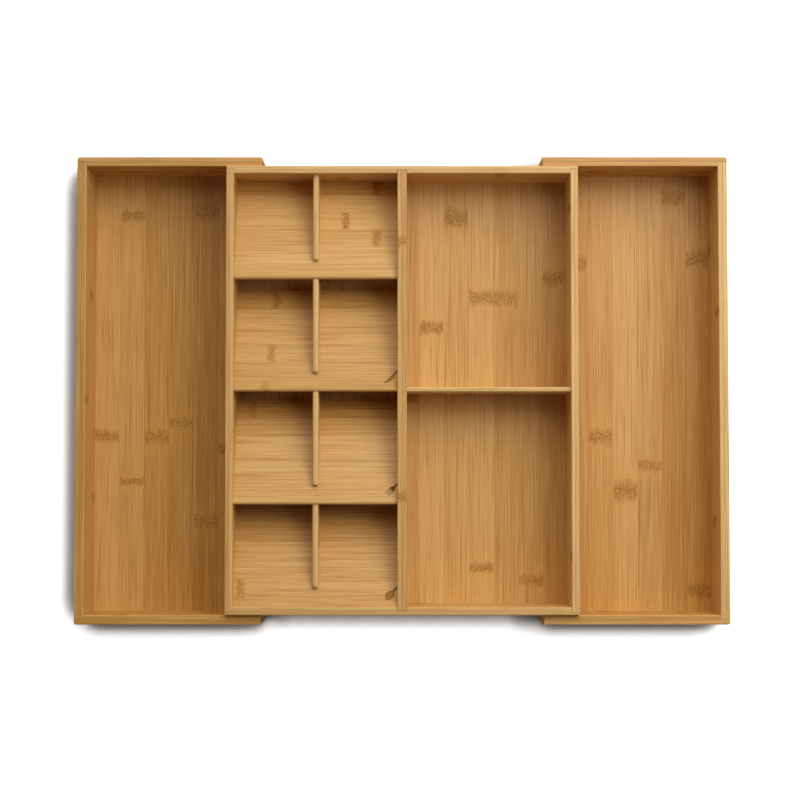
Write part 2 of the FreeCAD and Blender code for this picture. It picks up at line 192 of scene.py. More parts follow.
# How much a strip differs in tone across itself, how much of a knuckle's stain is left between its
# streaks, how much thicker its speckles are in its core, and how ragged they are
BROAD_CONTRAST = 0.5
BARE_STREAK_SHARE = 0.3
CORE_SPECKLE_SHARE = 0.2
SPECKLE_DISTORTION = 0.8

# Other fades, in the values that they are read from
CUT_END_FADE = (0.75, 0.95)
STRIP_EDGE_FADE = (0.6, 0.95)
IN_STRIP_FADE = (0.5, 0.46)
STREAK_FADE = (0.4, 0.6)
SPECKLED_FADE = (0.0, 0.3)
CHAR_FADE = (0.4, 0.75)
DUST_FADE = (0.45, 0.75)
# Where the painted shadow on the floor fades out, to the tray's left and in front of it, in values of
# openness
LEFT_PAINTED_SHADOW_FADE = (0.58, 0.94)
FRONT_PAINTED_SHADOW_FADE = (0.45, 0.94)
CEILING_FADE = (0.8, 0.3)

# Roughness of the lacquer, and what fibres, knuckles and cut ends add to it
LACQUER_ROUGHNESS = 0.4
FINE_ROUGHNESS = 0.12
KNUCKLE_ROUGHNESS = 0.08
CUT_END_ROUGHNESS = 0.45

# Roughness of the rubber and of burnt bamboo, and what their grain adds to it
RUBBER_ROUGHNESS = 0.65
BURNT_ROUGHNESS = 0.6
GRAIN_ROUGHNESS = 0.2

# Specular levels of the lacquer and of burnt bamboo
LACQUER_SPECULAR = 0.4
BURNT_SPECULAR = 0.15

# How dark a cut end is between its dots: partly the end grain's own colour, partly painted shade, deepened
# to match the shaded ends of the trays' arms
CUT_END_DARKNESS_AND_SHADE = 0.5

# How far each layer of the grain is sunk, as shares of the relief
FINE_SINK_SHARE = 0.5
DASH_SINK_SHARE = 0.4
SEAM_SINK_SHARE = 0.6
SPECKLE_SINK_SHARE = 0.5


class BambooFinish(bpy.types.PropertyGroup):
    """Colours and grain of the lacquered bamboo."""
    pale: FloatVectorProperty(
        name="Pale", description="Colour of the palest strips", subtype="COLOR",
        default=(0.78, 0.49, 0.18), min=0.0, max=1.0)
    honey: FloatVectorProperty(
        name="Honey", description="Colour of the deepest strips", subtype="COLOR",
        default=(0.52, 0.24, 0.034), min=0.0, max=1.0)
    amber: FloatVectorProperty(
        name="Amber", description="Colour that reddens some strips", subtype="COLOR",
        default=(0.74, 0.36, 0.06), min=0.0, max=1.0)
    fibre: FloatVectorProperty(
        name="Fibre", description="Colour of the fibres and glue lines", subtype="COLOR",
        default=(0.33, 0.115, 0.018), min=0.0, max=1.0)
    knuckle: FloatVectorProperty(
        name="Knuckle", description="Colour of the speckles in a knuckle", subtype="COLOR",
        default=(0.27, 0.1, 0.011), min=0.0, max=1.0)
    base_strip: FloatProperty(
        name="Base strip", description="Width of a strip in the base boards", default=0.0218,
        min=0.005, unit="LENGTH")
    wall_strip: FloatProperty(
        name="Wall strip", description="Height of a strip in the walls", default=0.0187,
        min=0.005, unit="LENGTH")
    tier_strip: FloatProperty(
        name="Tier strip", description="Width of a strip in the tier panels", default=0.0175,
        min=0.005, unit="LENGTH")
    knuckle_length: FloatProperty(
        name="Knuckle length", description="Usual length of a knuckle along the grain", default=0.011,
        min=0.002, unit="LENGTH")
    relief: FloatProperty(
        name="Relief", description="Depth of the open grain", default=0.00012, min=0.0, unit="LENGTH")


class MarkFinish(bpy.types.PropertyGroup):
    """Sizes and colours of the burnt cutlery marks."""
    angle: FloatProperty(
        name="Angle", description="Slant of the marks towards the divider", default=radians(48),
        unit="ROTATION")
    setback: FloatProperty(
        name="Setback", description="Distance from the tier's front edge to where a mark meets the divider",
        default=0.0181, min=0.002, unit="LENGTH")
    length: FloatProperty(
        name="Length", description="Usual length of a mark, from the divider to its tip", default=0.0146,
        min=0.005, unit="LENGTH")
    thickness: FloatProperty(
        name="Thickness", description="Thickness of the burnt layer", default=0.0001, min=0.00002,
        unit="LENGTH")
    proud: FloatProperty(
        name="Proud", description="Height of the burnt layer above the panel", default=0.00004,
        min=0.0, unit="LENGTH")
    burnt: FloatVectorProperty(
        name="Burnt", description="Colour of the burnt lines", subtype="COLOR",
        default=(0.11, 0.042, 0.004), min=0.0, max=1.0)
    scorched: FloatVectorProperty(
        name="Scorched", description="Colour of the scorched blade and bowl", subtype="COLOR",
        default=(0.36, 0.16, 0.018), min=0.0, max=1.0)
    wear: FloatProperty(
        name="Wear", description="How much bamboo shows through the burnt layer", default=0.5, min=0.0,
        max=1.0, subtype="FACTOR")


class PadFinish(bpy.types.PropertyGroup):
    """Colours and grain of the non-slip foot pads."""
    rubber: FloatVectorProperty(
        name="Rubber", description="Colour of the foot pads", subtype="COLOR",
        default=(0.035, 0.034, 0.033), min=0.0, max=1.0)
    dust: FloatVectorProperty(
        name="Dust", description="Colour of the dust on them", subtype="COLOR",
        default=(0.2, 0.18, 0.15), min=0.0, max=1.0)
    dustiness: FloatProperty(
        name="Dustiness", description="How much of the dust shows", default=0.25, min=0.0, max=1.0,
        subtype="FACTOR")
    relief: FloatProperty(
        name="Relief", description="Depth of the moulded grain", default=0.0001, min=0.0, unit="LENGTH")


class StageLook(bpy.types.PropertyGroup):
    """Camera, floor and light."""
    camera_place: FloatVectorProperty(
        name="Camera place", description="Where the camera stands", subtype="TRANSLATION",
        default=(-0.0018, -0.0734, 1.5418), unit="LENGTH")
    camera_tilt: FloatProperty(
        name="Camera tilt", description="Turn of the camera from straight down towards the back",
        default=0.0434, unit="ROTATION")
    lens: FloatProperty(
        name="Lens", description="Focal length for a sensor 36 mm wide", default=78.3, min=10.0,
        unit="CAMERA")
    side_place: FloatVectorProperty(
        name="Side place", description="Where the softbox at the side hangs", subtype="TRANSLATION",
        default=(0.7, 0.3, 1.0), unit="LENGTH")
    side_size: FloatProperty(
        name="Side size", description="Width of the softbox at the side", default=0.7, min=0.05,
        unit="LENGTH")
    side_power: FloatProperty(
        name="Side power", description="Power of the softbox at the side", default=6.0, min=0.0,
        unit="POWER")
    back_place: FloatVectorProperty(
        name="Back place", description="Where the softbox at the back hangs", subtype="TRANSLATION",
        default=(0.2, 0.8, 1.2), unit="LENGTH")
    back_size: FloatProperty(
        name="Back size", description="Width of the softbox at the back", default=1.0, min=0.05,
        unit="LENGTH")
    back_power: FloatProperty(
        name="Back power", description="Power of the softbox at the back", default=6.1, min=0.0,
        unit="POWER")
    room_back: FloatProperty(
        name="Room back", description="Brightness of the room's back", default=1.4, min=0.0)
    room_front: FloatProperty(
        name="Room front", description="Brightness of the room's front", default=0.29, min=0.0)
    backdrop: FloatProperty(
        name="Backdrop", description="Brightness of the room where the camera sees it", default=1.0, min=0.0)
    floor_size: FloatProperty(
        name="Floor size", description="Side of the floor", default=60.0, min=2.0, unit="LENGTH")
    floor_drop: FloatProperty(
        name="Floor drop", description="Gap between the foot pads and the floor", default=0.0002,
        min=0.0, unit="LENGTH")
    floor_colour: FloatVectorProperty(
        name="Floor colour", description="Colour of the floor", subtype="COLOR",
        default=(0.62, 0.62, 0.62), min=0.0, max=1.0)
    # The painted shadow on the floor: how far the floor's white lift is held back near the tray's left and
    # front, reaching further between the trays' arms
    left_shadow: FloatProperty(
        name="Left shadow", description="How far the dark seam on the tray's left reaches", default=0.0285,
        min=0.0, unit="LENGTH")
    front_shadow: FloatProperty(
        name="Front shadow", description="How far the dark seam along the tray's front reaches",
        default=0.0185, min=0.0, unit="LENGTH")
    middle_shadow: FloatProperty(
        name="Middle shadow", description="How much further it reaches between the trays' arms",
        default=0.006, min=0.0, unit="LENGTH")
    shadow_blend: FloatProperty(
        name="Shadow blend", description="Width over which that further reach ends at the arms",
        default=0.02, min=0.0, unit="LENGTH")
    shadow_lean: FloatProperty(
        name="Shadow lean", description="How far the dark seams lean to the tray's left and front",
        default=radians(42), unit="ROTATION")
    floor_lift: FloatProperty(
        name="Floor lift", description="Brightness that the camera sees on the floor besides its light",
        default=1.0, min=0.0)


def feed(tree, socket, value):
    """Link a socket to an input, or set the input to a number, vector or colour."""
    if isinstance(value, bpy.types.NodeSocket):
        tree.links.new(value, socket)
    else:
        socket.default_value = value


def calculate(tree, operation, *values):
    """The result of a Math node."""
    node = tree.nodes.new("ShaderNodeMath")
    node.operation = operation
    for socket, value in zip(node.inputs, values):
        feed(tree, socket, value)
    return node.outputs[0]


def combine(tree, *values):
    """A vector from three sockets or numbers."""
    node = tree.nodes.new("ShaderNodeCombineXYZ")
    for socket, value in zip(node.inputs, values):
        feed(tree, socket, value)
    return node.outputs[0]


def split(tree, vector):
    """The three numbers of a vector."""
    node = tree.nodes.new("ShaderNodeSeparateXYZ")
    feed(tree, node.inputs[0], vector)
    return node.outputs


def vector_math(tree, operation, *values):
    """The result of a Vector Math node."""
    node = tree.nodes.new("ShaderNodeVectorMath")
    node.operation = operation
    for socket, value in zip(node.inputs, values):
        feed(tree, socket, value)
    return node.outputs[0]


def fade(tree, value, start, stop):
    """A smooth rise from 0 at start to 1 at stop."""
    node = tree.nodes.new("ShaderNodeMapRange")
    node.interpolation_type = "SMOOTHSTEP"
    feed(tree, node.inputs["Value"], value)
    feed(tree, node.inputs["From Min"], start)
    feed(tree, node.inputs["From Max"], stop)
    return node.outputs[0]


def noise(tree, vector, stretch, detail=2.0, distortion=0.0):
    """Noise from 0 to 1, with so many grains to the metre along each axis."""
    node = tree.nodes.new("ShaderNodeTexNoise")
    feed(tree, node.inputs["Vector"], vector_math(tree, "MULTIPLY", vector, stretch))
    node.inputs["Scale"].default_value = 1.0
    node.inputs["Detail"].default_value = detail
    node.inputs["Distortion"].default_value = distortion
    return node.outputs["Fac"]


def blend(tree, factor, first, second):
    """A mix of two colours."""
    node = tree.nodes.new("ShaderNodeMix")
    node.data_type = "RGBA"
    feed(tree, node.inputs["Factor"], factor)
    feed(tree, node.inputs[6], first)
    feed(tree, node.inputs[7], second)
    return node.outputs[2]


def masked(tree, value, mask):
    """Where a mask shows, from 0 to 1."""
    return fade(tree, value, mask.start, mask.stop)


def tinted(tree, colour, layers, colours):
    """A colour under layers of masks, each with the place that it shows in."""
    for place, mask in layers:
        colour = blend(tree, calculate(tree, "MULTIPLY", place, mask.strength), colour, colours[mask.colour])
    return colour


def new_group(name, inputs, outputs):
    """An empty shader node group, with its named inputs and outputs."""
    group = bpy.data.node_groups.new(name, "ShaderNodeTree")
    for way, sockets in (("INPUT", inputs), ("OUTPUT", outputs)):
        for socket, kind in sockets.items():
            group.interface.new_socket(socket, in_out=way, socket_type=f"NodeSocket{kind}")
    return group, group.nodes.new("NodeGroupInput").outputs, group.nodes.new("NodeGroupOutput").inputs


def use_group(tree, group, values):
    """A node group placed in a tree, with its inputs fed by name."""
    node = tree.nodes.new("ShaderNodeGroup")
    node.node_tree = group
    for name, value in values.items():
        feed(tree, node.inputs[name], value)
    return node.outputs


def knuckle_group(name):
    """The masks of one knuckle, added to those of the knuckles before it: its speckled core, and the
    stain that runs out of it along the grain."""
    floats = dict.fromkeys(("Along", "Across", "Length", "Width", "Core", "Stain"), "Float")
    group, given, made = new_group(name, {"Vector": "Vector", **floats},
                                   {"Core": "Float", "Stain": "Float"})
    along, across, _ = split(group, given["Vector"])
    wave = calculate(group, "SUBTRACT", noise(group, given["Vector"], KNUCKLE_EDGE_GRAIN), 0.5)
    distance = calculate(group, "DIVIDE", calculate(group, "SUBTRACT", along, given["Along"]),
                         given["Length"])
    distance = calculate(group, "ABSOLUTE", calculate(group, "ADD", distance, wave))
    aside = calculate(group, "DIVIDE", calculate(group, "SUBTRACT", across, given["Across"]),
                      given["Width"])
    in_strip = fade(group, calculate(group, "ABSOLUTE", aside), *IN_STRIP_FADE)
    core = calculate(group, "MULTIPLY", masked(group, distance, CORE), in_strip)
    stain = calculate(group, "MULTIPLY", masked(group, distance, STAIN), in_strip)
    feed(group, made["Core"], calculate(group, "MAXIMUM", core, given["Core"]))
    feed(group, made["Stain"], calculate(group, "MAXIMUM", stain, given["Stain"]))
    return group


def bamboo_group(name):
    """A bamboo board in its own grain directions: X along the grain, Y across the strips, Z through the
    two layers of strips."""
    group, given, made = new_group(
        name,
        {"Vector": "Vector", "Normal": "Vector", "Strip Width": "Float", "First Strip": "Float",
         "Layer": "Float", "Seed": "Float", "Paleness": "Float", "Rim Tone And Light": "Float", "Contrast": "Float",
         "Amber Share": "Float", "Core": "Float", "Stain": "Float",
         "Pale": "Color", "Honey": "Color", "Amber": "Color", "Fibre": "Color", "Knuckle": "Color"},
        {"Color": "Color", "Roughness": "Float", "Height": "Float"})

    # Which way the surface faces: a cut end, the edge of the strips, or their broad side
    end_on, edge_on, broad_on = split(group, vector_math(group, "ABSOLUTE", given["Normal"]))
    cut_end = fade(group, end_on, *CUT_END_FADE)
    edge = fade(group, edge_on, *STRIP_EDGE_FADE)
    squarest = calculate(group, "MAXIMUM", end_on, calculate(group, "MAXIMUM", edge_on, broad_on))
    # Eased edges: partly worn, partly a painted highlight
    worn_and_highlit = masked(group, squarest, EDGE_WEAR_AND_HIGHLIGHT)

    # Each strip of each layer has its own tone, its own tint and its own stretch of grain
    _, across, through = split(group, given["Vector"])
    place = calculate(group, "DIVIDE", calculate(group, "SUBTRACT", across, given["First Strip"]),
                      given["Strip Width"])
    depth = calculate(group, "DIVIDE", through, given["Layer"])
    upper = calculate(group, "GREATER_THAN", depth, 1.0)
    draw = group.nodes.new("ShaderNodeTexWhiteNoise")
    feed(group, draw.inputs["Vector"],
         combine(group, calculate(group, "FLOOR", place), upper, given["Seed"]))
    _, tint, _ = split(group, draw.outputs["Color"])
    grain = vector_math(group, "ADD", given["Vector"], draw.outputs["Color"])
    middle = calculate(group, "ABSOLUTE",
                       calculate(group, "SUBTRACT", calculate(group, "FRACT", place), 0.5))
    seam = calculate(group, "MULTIPLY", masked(group, middle, SEAM),
                     calculate(group, "SUBTRACT", 1.0, edge))
    off_glue = calculate(group, "ABSOLUTE", calculate(group, "SUBTRACT", depth, 1.0))
    glue = calculate(group, "MULTIPLY", masked(group, off_glue, GLUE),
                     calculate(group, "SUBTRACT", 1.0, broad_on))

    # Fibres of several widths, all drawn out along the grain
    broad = noise(group, grain, BROAD_GRAIN)
    medium = noise(group, grain, MIDDLE_GRAIN)
    fine = noise(group, grain, FINE_GRAIN)
    dash = masked(group, noise(group, grain, DASH_GRAIN, detail=1.0), DASH)
    tone = calculate(group, "MULTIPLY", calculate(group, "SUBTRACT", draw.outputs["Value"], 0.5),
                     given["Contrast"])
    tone = calculate(group, "MULTIPLY_ADD", calculate(group, "SUBTRACT", broad, 0.5), BROAD_CONTRAST, tone)
    # Faces at the strips' edges, such as a wall's top, get the board's rim tone: partly sanded paler, partly
    # painted light that makes the back tops lighter and the front and left tops darker
    tone = calculate(group, "ADD", tone,
                     calculate(group, "MULTIPLY_ADD", edge, given["Rim Tone And Light"], given["Paleness"]))
    colour = blend(group, tone, given["Honey"], given["Pale"])
    reddened = calculate(group, "MULTIPLY", calculate(group, "MULTIPLY", tint, given["Amber Share"]),
                         calculate(group, "SUBTRACT", 1.0, edge))
    colour = blend(group, reddened, colour, given["Amber"])
    colour = tinted(group, colour, (
        (masked(group, medium, MEDIUM_FIBRE), MEDIUM_FIBRE),
        (masked(group, fine, FINE_FIBRE), FINE_FIBRE),
        (masked(group, fine, FINE_GLEAM), FINE_GLEAM),
        (dash, DASH),
        (seam, SEAM),
        (glue, GLUE)), given)

    # Knuckles: a streaky stain, and dark and pale speckles in the core
    streaks = calculate(group, "MULTIPLY_ADD", fade(group, medium, *STREAK_FADE), 1 - BARE_STREAK_SHARE,
                        BARE_STREAK_SHARE)
    stain = calculate(group, "MULTIPLY", given["Stain"], streaks)
    spots = noise(group, given["Vector"], SPECKLE_GRAIN, distortion=SPECKLE_DISTORTION)
    thickest = calculate(group, "MULTIPLY_ADD", given["Core"], CORE_SPECKLE_SHARE, spots)
    dark_spot = calculate(group, "MULTIPLY", masked(group, thickest, DARK_SPECKLE),
                          fade(group, given["Core"], *SPECKLED_FADE))
    pale_spot = calculate(group, "MULTIPLY", masked(group, spots, PALE_SPECKLE), given["Core"])
    colour = tinted(group, colour, (
        (stain, STAIN),
        (given["Core"], CORE),
        (dark_spot, DARK_SPECKLE),
        (pale_spot, PALE_SPECKLE)), given)

    # Cut ends show the fibres as dots and are darkened, partly as painted shade; eased edges are made paler,
    # partly worn and partly a painted highlight
    dots = group.nodes.new("ShaderNodeTexVoronoi")
    dots.inputs["Scale"].default_value = 1.0
    feed(group, dots.inputs["Vector"], vector_math(group, "MULTIPLY", given["Vector"], CUT_END_GRAIN))
    # Cut ends darkened: partly the end grain's own colour, partly painted shade
    dotted = calculate(group, "MULTIPLY_ADD", masked(group, dots.outputs["Distance"], CUT_END_DOT),
                       CUT_END_DOT.strength, CUT_END_DARKNESS_AND_SHADE)
    colour = blend(group, calculate(group, "MULTIPLY", cut_end, dotted), colour, given[CUT_END_DOT.colour])
    colour = tinted(group, colour, ((worn_and_highlit, EDGE_WEAR_AND_HIGHLIGHT),), given)

    rough = calculate(group, "MULTIPLY_ADD", fine, FINE_ROUGHNESS, LACQUER_ROUGHNESS)
    rough = calculate(group, "MULTIPLY_ADD", given["Core"], KNUCKLE_ROUGHNESS, rough)
    rough = calculate(group, "MULTIPLY_ADD", cut_end, CUT_END_ROUGHNESS, rough)
    height = calculate(group, "MULTIPLY", dash, -DASH_SINK_SHARE)
    height = calculate(group, "MULTIPLY_ADD", fine, -FINE_SINK_SHARE, height)
    height = calculate(group, "MULTIPLY_ADD", seam, -SEAM_SINK_SHARE, height)
    height = calculate(group, "MULTIPLY_ADD", dark_spot, -SPECKLE_SINK_SHARE, height)
    feed(group, made["Color"], colour)
    feed(group, made["Roughness"], rough)
    feed(group, made["Height"], height)
    return group


def shared_group(name, make):
    """The node group of a name, made when it is first asked for."""
    return bpy.data.node_groups.get(name) or make(name)


def new_material(name):
    """A material with a Principled shader, its node tree and that shader's inputs."""
    material = bpy.data.materials.new(name)
    material.use_nodes = True
    return material, material.node_tree, material.node_tree.nodes["Principled BSDF"].inputs


def add_relief(tree, shader, height, depth):
    """A bump of a depth in metres, from a height between 0 and 1."""
    bump = tree.nodes.new("ShaderNodeBump")
    bump.inputs["Distance"].default_value = depth
    feed(tree, bump.inputs["Height"], height)
    feed(tree, shader["Normal"], bump.outputs["Normal"])


def dress(node, material):
    """Give a carried-over board its finish."""
    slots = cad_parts[node].data.materials
    slots.clear()
    slots.append(material)


def grain_frame(node, along, across):
    """Where a board's grain starts, how it is turned, and the board's length along it and thickness."""
    axes = (along, across, along.cross(across))
    points = [vertex.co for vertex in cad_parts[node].data.vertices]
    reaches = [[point.dot(axis) for point in points] for axis in axes]
    start = sum((axis * min(reach) for axis, reach in zip(axes, reaches)), Vector())
    length, _, thickness = (max(reach) - min(reach) for reach in reaches)
    return start, Matrix(axes).transposed().to_euler(), length, thickness


def bamboo_board(node, board, along, across, strip):
    """Dress one board in bamboo, with its grain along one direction and its strips across another."""
    finish = bpy.context.scene.tray_bamboo
    start, turn, length, thickness = grain_frame(node, along, across)
    material, tree, shader = new_material(f"bamboo_{node}")
    coordinates = tree.nodes.new("ShaderNodeTexCoord").outputs
    turned = []
    for output, place in (("Object", start), ("Normal", Vector())):
        mapping = tree.nodes.new("ShaderNodeMapping")
        mapping.vector_type = "TEXTURE"
        mapping.inputs["Location"].default_value = place
        mapping.inputs["Rotation"].default_value = turn
        feed(tree, mapping.inputs["Vector"], coordinates[output])
        turned.append(mapping.outputs[0])
    masks = {"Core": 0.0, "Stain": 0.0}
    for number, length_share, size_share in board.knuckle_shares:
        masks = use_group(tree, shared_group("Bamboo knuckle", knuckle_group), {
            "Vector": turned[0], "Along": length_share * length,
            "Across": board.first_strip + (number + 0.5) * strip,
            "Length": finish.knuckle_length * size_share, "Width": strip,
            "Core": masks["Core"], "Stain": masks["Stain"]})
    surface = use_group(tree, shared_group("Bamboo board", bamboo_group), {
        "Vector": turned[0], "Normal": turned[1], "Strip Width": strip,
        "First Strip": board.first_strip, "Layer": thickness / 2, "Seed": board.seed,
        "Paleness": board.paleness, "Rim Tone And Light": board.rim, "Contrast": board.contrast,
        "Amber Share": board.amber_share, "Core": masks["Core"], "Stain": masks["Stain"],
        "Pale": (*finish.pale, 1.0), "Honey": (*finish.honey, 1.0), "Amber": (*finish.amber, 1.0),
        "Fibre": (*finish.fibre, 1.0), "Knuckle": (*finish.knuckle, 1.0)})
    feed(tree, shader["Base Color"], surface["Color"])
    feed(tree, shader["Roughness"], surface["Roughness"])
    shader["Specular IOR Level"].default_value = LACQUER_SPECULAR
    add_relief(tree, shader, surface["Height"], finish.relief)
    dress(node, material)


class TRAY_OT_dress_bases(bpy.types.Operator):
    """Give the three base boards their bamboo strips, laid front to back"""
    bl_idname = "cutlery_tray.dress_bases"
    bl_label = "Dress the bases"

    def execute(self, context):
        for node, board in BASES.items():
            bamboo_board(node, board, BACK_TO_FRONT, LEFT_TO_RIGHT, context.scene.tray_bamboo.base_strip)
        return {"FINISHED"}


class TRAY_OT_dress_walls(bpy.types.Operator):
    """Give the walls, dividers and guide keys their bamboo, with the grain along each wall"""
    bl_idname = "cutlery_tray.dress_walls"
    bl_label = "Dress the walls"

    def execute(self, context):
        strip = context.scene.tray_bamboo.wall_strip
        for node, board in {**LONG_WALLS, **KEYS}.items():
            bamboo_board(node, board, LEFT_TO_RIGHT, UPWARDS, strip)
        for node, board in SIDE_WALLS.items():
            bamboo_board(node, board, BACK_TO_FRONT, UPWARDS, strip)
        return {"FINISHED"}


class TRAY_OT_dress_tiers(bpy.types.Operator):
    """Give the tier panels bamboo laid left to right, and the fins bamboo laid front to back"""
    bl_idname = "cutlery_tray.dress_tiers"
    bl_label = "Dress the tiers"

    def execute(self, context):
        strip = context.scene.tray_bamboo.tier_strip
        for node, board in TIERS.items():
            bamboo_board(node, board, LEFT_TO_RIGHT, UP_THE_TIER, strip)
        for node, board in FINS.items():
            bamboo_board(node, board, BACK_TO_FRONT, UPWARDS, strip)
        return {"FINISHED"}


def rubber():
    """Matt rubber with a fine moulded grain."""
    material, tree, shader = new_material("foot_rubber")
    place = tree.nodes.new("ShaderNodeTexCoord").outputs["Object"]
    finish = bpy.context.scene.tray_pads
    grain = noise(tree, place, RUBBER_GRAIN)
    dust = fade(tree, noise(tree, place, DUST_GRAIN, detail=4.0), *DUST_FADE)
    dusty = calculate(tree, "MULTIPLY", dust, finish.dustiness)
    feed(tree, shader["Base Color"], blend(tree, dusty, (*finish.rubber, 1.0), (*finish.dust, 1.0)))
    feed(tree, shader["Roughness"],
         calculate(tree, "MULTIPLY_ADD", grain, GRAIN_ROUGHNESS, RUBBER_ROUGHNESS))
    add_relief(tree, shader, grain, finish.relief)
    return material


class TRAY_OT_dress_feet(bpy.types.Operator):
    """Give the foot pads their rubber"""
    bl_idname = "cutlery_tray.dress_feet"
    bl_label = "Dress the feet"

    def execute(self, context):
        material = rubber()
        for node in FEET:
            dress(node, material)
        return {"FINISHED"}


# Shares of a mark's length: how far its handle runs past the divider, which cuts it off, then the burnt
# rims of the blade and the bowl, the bowl's radius, and the fork's head
OVERRUN_SHARE = 0.15
KNIFE_RIM_SHARE = 0.035
BOWL_RIM_SHARE = 0.03
BOWL_SHARE = 0.33
FORK_HEAD_SHARE = 0.356
PRONG_ROOT_SHARE = 0.56
FORK_SHOULDER_SHARE = 0.46

# Down the fork from its head: how far along it each row lies, and how wide it is for the row before it
NECK_SHARES = ((0.38, 0.85), (0.31, 0.55), (0.27, 0.6), (-OVERRUN_SHARE, 1.0))

# How narrow the bowl is for its length, how many sides it has, how many prongs the fork has, and how
# much they narrow to their tips
BOWL_NARROWING = 0.72
BOWL_SIDES = 28
PRONGS = 3
PRONG_TAPER_SHARE = 0.4


def new_points(made):
    """The vertices among what a bmesh operator made."""
    return [item for item in made["geom"] if isinstance(item, bmesh.types.BMVert)]


def scorch_inside(mesh, faces, rim):
    """Leave a burnt rim around faces, and give what is inside it the second, scorched finish."""
    # The inset goes sideways from the normals, and new faces have none yet
    mesh.normal_update()
    bmesh.ops.inset_region(mesh, faces=faces, thickness=rim, use_boundary=True, use_even_offset=True)
    for face in faces:
        face.material_index = 1


def knife_shape(mesh, length):
    """A table knife: Y runs from the divider to its tip, and its back is straight."""
    outline_shares = (
        (0.056, -OVERRUN_SHARE), (0.056, 1.0), (-0.04, 0.85), (-0.105, 0.64), (-0.118, 0.45),
        (-0.1, 0.33), (-0.045, 0.28), (-0.045, -OVERRUN_SHARE))
    blade = mesh.faces.new([mesh.verts.new((x * length, y * length, 0)) for x, y in outline_shares])
    scorch_inside(mesh, [blade], KNIFE_RIM_SHARE * length)


def spoon_shape(mesh, length):
    """A spoon: Y runs from the divider along its handle to the end of its bowl."""
    radius = BOWL_SHARE * length
    bowl = bmesh.ops.create_circle(mesh, cap_ends=True, segments=BOWL_SIDES, radius=radius)["verts"]
    bmesh.ops.scale(mesh, verts=bowl, vec=(BOWL_NARROWING, 1, 1))
    bmesh.ops.translate(mesh, verts=bowl, vec=(0, length - radius, 0))
    inside = mesh.faces[:]
    neck = min(bowl, key=lambda vertex: vertex.co.y)
    for vertex in new_points(bmesh.ops.extrude_edge_only(mesh, edges=neck.link_edges[:])):
        vertex.co.y = -OVERRUN_SHARE * length
    scorch_inside(mesh, inside, BOWL_RIM_SHARE * length)


def fork_shape(mesh, length):
    """A fork: Y runs from the divider along its handle to the ends of its prongs, which leave gaps of
    their own width."""
    half_head = FORK_HEAD_SHARE * length / 2
    root = PRONG_ROOT_SHARE * length
    shoulder = FORK_SHOULDER_SHARE * length
    bmesh.ops.create_grid(mesh, x_segments=2 * PRONGS - 1, y_segments=1, size=1)
    columns = sorted((edge for edge in mesh.edges if all(v.co.y > 0 for v in edge.verts)),
                     key=lambda edge: edge.verts[0].co.x + edge.verts[1].co.x)
    row = [edge for edge in mesh.edges if all(v.co.y < 0 for v in edge.verts)]
    for vertex in mesh.verts:
        vertex.co.x *= half_head
        vertex.co.y = root if vertex.co.y > 0 else shoulder
    for prong in columns[::2]:
        tip = new_points(bmesh.ops.extrude_edge_only(mesh, edges=[prong]))
        middle = (tip[0].co.x + tip[1].co.x) / 2
        for vertex in tip:
            vertex.co.y = length
            vertex.co.x += (middle - vertex.co.x) * PRONG_TAPER_SHARE
    for height_share, narrowing in NECK_SHARES:
        made = bmesh.ops.extrude_edge_only(mesh, edges=row)
        points = new_points(made)
        row = [item for item in made["geom"] if isinstance(item, bmesh.types.BMEdge)
               and all(vertex in points for vertex in item.verts)]
        for vertex in points:
            vertex.co.y = height_share * length
            vertex.co.x *= narrowing


# Each burnt mark: the tier that carries it, its shape and its share of the usual length
MARKS = {
    "knife_mark": ("tier_panel_2", knife_shape, 1.16),
    "fork_mark": ("tier_panel_3", fork_shape, 0.91),
    "spoon_mark": ("tier_panel_4", spoon_shape, 1.0),
}


def burnt_bamboo(name, colour):
    """Bamboo that was burnt, uneven along the grain."""
    finish = bpy.context.scene.tray_marks
    material, tree, shader = new_material(name)
    place = tree.nodes.new("ShaderNodeTexCoord").outputs["Object"]
    char = noise(tree, place, CHAR_GRAIN, detail=3.0)
    worn = calculate(tree, "MULTIPLY", fade(tree, char, *CHAR_FADE), finish.wear)
    fibre = (*bpy.context.scene.tray_bamboo.fibre, 1.0)
    feed(tree, shader["Base Color"], blend(tree, worn, (*colour, 1.0), fibre))
    feed(tree, shader["Roughness"], calculate(tree, "MULTIPLY_ADD", char, GRAIN_ROUGHNESS, BURNT_ROUGHNESS))
    shader["Specular IOR Level"].default_value = BURNT_SPECULAR
    add_relief(tree, shader, char, finish.thickness / 2)
    return material


def mark_place(tier):
    """The matrix that lays a mark on a tier, slanting from the divider down to the front edge."""
    finish = bpy.context.scene.tray_marks
    points = [vertex.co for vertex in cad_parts[tier].data.vertices]
    level = max(point.dot(UP_THE_TIER) for point in points) - finish.setback
    face = max(point.dot(TIER_FACE) for point in points) + finish.proud
    start = LEFT_TO_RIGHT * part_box("central_divider")[0].x + UP_THE_TIER * level + TIER_FACE * face
    turn = Matrix((LEFT_TO_RIGHT, -UP_THE_TIER, TIER_FACE)).transposed().to_4x4()
    return Matrix.Translation(start) @ turn @ Matrix.Rotation(finish.angle + radians(90), 4, "Z")


